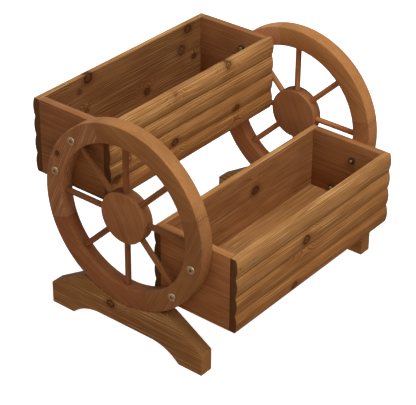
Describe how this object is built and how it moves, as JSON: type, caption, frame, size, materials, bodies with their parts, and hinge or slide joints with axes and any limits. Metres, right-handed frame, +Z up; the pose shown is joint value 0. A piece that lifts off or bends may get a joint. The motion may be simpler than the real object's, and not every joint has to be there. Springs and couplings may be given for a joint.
{
  "type": "two-tier wagon-wheel planter",
  "caption": "Free-standing wooden planter with log-sided plank boxes on staggered levels, bolted between spoked wagon wheels that stand in cradled foot boards.",
  "frame": {"origin": "on the ground, at the centre of the object's bounding box and under the wheels' common axis", "axes": "+X along the wheels' axis towards the right wheel, +Y from the lower box to the upper box, +Z up"},
  "size_m": [0.4742, 0.4138, 0.386],
  "materials": {
    "siding": "brown-stained fir with light wear, satin",
    "end_panel": "brown-stained fir, satin",
    "floor": "brown-stained fir, matt",
    "rim": "brown-stained fir, satin",
    "spoke": "brown-stained dowel, satin",
    "hub": "brown-stained fir, satin",
    "foot": "brown-stained fir, satin",
    "bolt": "yellow-passivated zinc plate",
    "nut": "zinc plate",
    "screw": "zinc plate"
  },
  "bodies": {
    "root": {"left_wheel_felloe_1": "rim", "left_wheel_felloe_2": "rim", "left_wheel_felloe_3": "rim", "left_wheel_felloe_4": "rim", "left_wheel_spoke_1": "spoke", "left_wheel_spoke_2": "spoke", "left_wheel_spoke_3": "spoke", "left_wheel_spoke_4": "spoke", "left_wheel_spoke_5": "spoke", "left_wheel_spoke_6": "spoke", "left_wheel_spoke_7": "spoke", "left_wheel_spoke_8": "spoke", "left_wheel_hub": "hub", "left_foot": "foot", "left_foot_front_screw": "screw", "left_foot_back_screw": "screw", "left_upper_low_bolt": "bolt", "left_upper_low_nut": "nut", "left_upper_high_bolt": "bolt", "left_upper_high_nut": "nut", "left_lower_low_bolt": "bolt", "left_lower_low_nut": "nut", "left_lower_high_bolt": "bolt", "left_lower_high_nut": "nut", "right_wheel_felloe_1": "rim", "right_wheel_felloe_2": "rim", "right_wheel_felloe_3": "rim", "right_wheel_felloe_4": "rim", "right_wheel_spoke_1": "spoke", "right_wheel_spoke_2": "spoke", "right_wheel_spoke_3": "spoke", "right_wheel_spoke_4": "spoke", "right_wheel_spoke_5": "spoke", "right_wheel_spoke_6": "spoke", "right_wheel_spoke_7": "spoke", "right_wheel_spoke_8": "spoke", "right_wheel_hub": "hub", "right_foot": "foot", "right_foot_front_screw": "screw", "right_foot_back_screw": "screw", "right_upper_low_bolt": "bolt", "right_upper_low_nut": "nut", "right_upper_high_bolt": "bolt", "right_upper_high_nut": "nut", "right_lower_low_bolt": "bolt", "right_lower_low_nut": "nut", "right_lower_high_bolt": "bolt", "right_lower_high_nut": "nut", "upper_box_front_siding": "siding", "upper_box_back_siding": "siding", "upper_box_left_end": "end_panel", "upper_box_right_end": "end_panel", "upper_box_floor": "floor", "lower_box_front_siding": "siding", "lower_box_back_siding": "siding", "lower_box_left_end": "end_panel", "lower_box_right_end": "end_panel", "lower_box_floor": "floor"}
  },
  "joints": []
}
